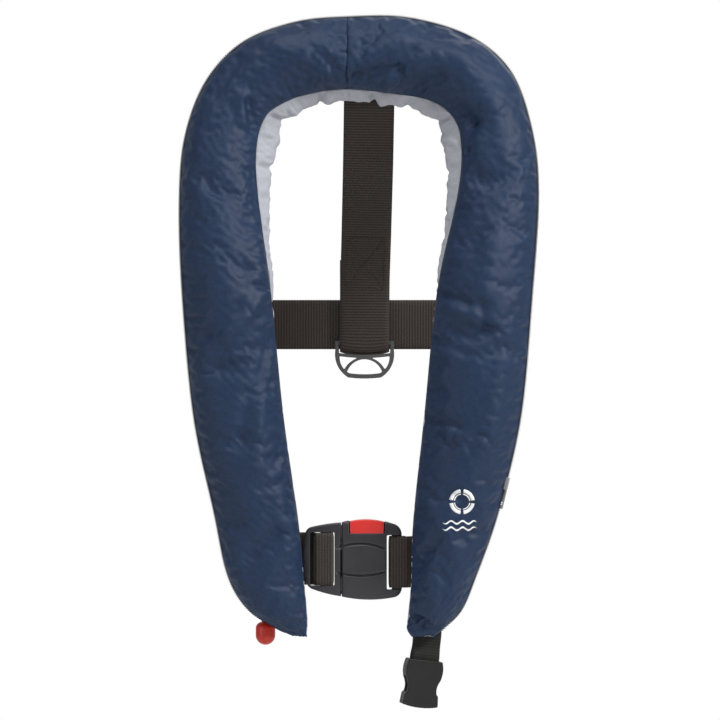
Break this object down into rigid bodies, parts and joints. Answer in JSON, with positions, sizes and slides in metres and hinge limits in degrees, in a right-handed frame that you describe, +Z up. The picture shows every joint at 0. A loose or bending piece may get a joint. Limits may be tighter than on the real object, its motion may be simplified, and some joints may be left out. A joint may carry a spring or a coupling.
{
  "type": "inflatable life jacket",
  "caption": "Packed horseshoe inflatable life jacket with zipped fabric cover, webbing waist belt, press-button buckle, back strap with ring, pull toggle and crotch strap.",
  "frame": {"origin": "top of the neck opening, where the collar's inside rests on the wearer's neck", "axes": "+Z up as worn, -Y the way the wearer faces, +X towards the wearer's left"},
  "size_m": [0.318, 0.1984, 0.611],
  "materials": {
    "cover_fabric": "woven polyester",
    "lining_fabric": "woven polyester",
    "zip_black": "coil zip",
    "webbing": "ribbed webbing",
    "buckle_plastic": "satin moulded acetal",
    "red_plastic": "moulded",
    "cord_red": "braided cord",
    "bladder_fabric": "coated nylon",
    "steel": "plated",
    "inner_plastic": "moulded",
    "tube_rubber": "matt",
    "tablet": "pressed"
  },
  "bodies": {
    "jacket": {"cover_front_left": "cover_fabric", "cover_front_right": "cover_fabric", "back_lining": "lining_fabric", "folded_bladder": "bladder_fabric", "zip_tape": "zip_black", "zip_coil": "zip_black", "waist_belt_back": "webbing", "belt_side_left": "webbing", "belt_side_right": "webbing", "belt_front_right": "webbing", "belt_tunnel_left": "webbing", "belt_tunnel_right": "webbing", "back_strap": "webbing", "buckle_front_shell": "buckle_plastic", "buckle_back_shell": "buckle_plastic", "button_springs": "steel", "inflator_body": "inner_plastic", "lever_pin": "steel", "firing_spring": "steel", "inflator_manifold": "inner_plastic", "sensor_tablet": "tablet", "oral_flange": "inner_plastic", "oral_tube": "tube_rubber", "oral_valve_body": "inner_plastic", "oral_valve_spring": "steel", "whistle": "inner_plastic", "crotch_anchor": "webbing"},
    "button": {"release_button": "red_plastic", "latch_plate": "steel"},
    "buckle_tongue_half": {"buckle_tongue": "buckle_plastic", "adjuster_bar": "buckle_plastic", "belt_front_left": "webbing"},
    "ring": {"back_ring": "buckle_plastic"},
    "crotch_strap": {"crotch_webbing": "webbing"},
    "crotch_buckle": {"crotch_socket": "buckle_plastic"},
    "lever": {"inflator_lever": "inner_plastic"},
    "toggle": {"pull_toggle": "red_plastic", "pull_cord": "cord_red"},
    "firing_pin": {"firing_pin": "steel"},
    "bottle": {"gas_bottle": "steel"},
    "sensor": {"sensor_cap": "inner_plastic"},
    "dust_cap": {"oral_dust_cap": "inner_plastic"},
    "poppet": {"oral_valve_poppet": "inner_plastic"},
    "slider": {"zip_slider": "steel"},
    "pull_tab": {"zip_pull": "steel"}
  },
  "joints": [
    {"name": "button_press", "type": "slide", "parent": "jacket", "child": "button", "axis": [0, 0, -1], "range_m": [0, 0.004], "stiffness_N_per_m": 900, "springref_m": -0.0005, "deforming": ["button_springs"]},
    {"name": "tongue_release", "type": "slide", "parent": "jacket", "child": "buckle_tongue_half", "axis": [-1, 0, 0], "range_m": [0, 0.018]},
    {"name": "ring_swing", "type": "hinge", "parent": "jacket", "child": "ring", "pos_m": [0.0051, 0.1597, -0.2057], "axis": [1, 0, 0], "range_deg": [-80, 0]},
    {"name": "crotch_swing", "type": "hinge", "parent": "jacket", "child": "crotch_strap", "pos_m": [0.06, 0.0124, -0.4648], "axis": [0.9615, 0.2439, -0.1266], "range_deg": [-45, 60]},
    {"name": "crotch_buckle_tilt", "type": "hinge", "parent": "crotch_strap", "child": "crotch_buckle", "pos_m": [0.05721, 0.0124, -0.48602], "axis": [0.9615, 0.2439, -0.1266], "range_deg": [-10, 10]},
    {"name": "lever_pull", "type": "hinge", "parent": "jacket", "child": "lever", "pos_m": [-0.098, -0.001, -0.402], "axis": [0, 1, 0], "range_deg": [0, 60]},
    {"name": "toggle_pull", "type": "slide", "parent": "jacket", "child": "toggle", "axis": [0, 0, -1], "range_m": [0, 0.0162]},
    {"name": "pin_stroke", "type": "slide", "parent": "jacket", "child": "firing_pin", "axis": [0, 0, 1], "range_m": [0, 0.0041], "deforming": ["firing_spring"]},
    {"name": "bottle_turn", "type": "hinge", "parent": "jacket", "child": "bottle", "pos_m": [-0.092, -0.003, -0.35], "axis": [-0.131, 0, 0.9914], "continuous": true},
    {"name": "sensor_cap_turn", "type": "hinge", "parent": "jacket", "child": "sensor", "pos_m": [-0.074, -0.003, -0.386], "axis": [0, 0, 1], "range_deg": [0, 90]},
    {"name": "dust_cap_lift", "type": "slide", "parent": "jacket", "child": "dust_cap", "axis": [0, 0, 1], "range_m": [0, 0.02]},
    {"name": "poppet_press", "type": "slide", "parent": "jacket", "child": "poppet", "axis": [0, 0, -1], "range_m": [0, 0.003], "stiffness_N_per_m": 300, "springref_m": -0.0005, "deforming": ["oral_valve_spring"]},
    {"name": "zip_slide", "type": "slide", "parent": "jacket", "child": "slider", "axis": [0.229, 0, 0.9734], "range_m": [0, 0.04]},
    {"name": "tab_lift", "type": "hinge", "parent": "slider", "child": "pull_tab", "pos_m": [0.129, 0.005, -0.3295], "axis": [0.9734, 0, -0.229], "range_deg": [0, 100]}
  ],
  "couplings": [
    {"joint": "toggle_pull", "follows": "lever_pull", "m_per_rad": 0.0152},
    {"joint": "pin_stroke", "follows": "lever_pull", "m_per_rad": 0.0038}
  ]
}
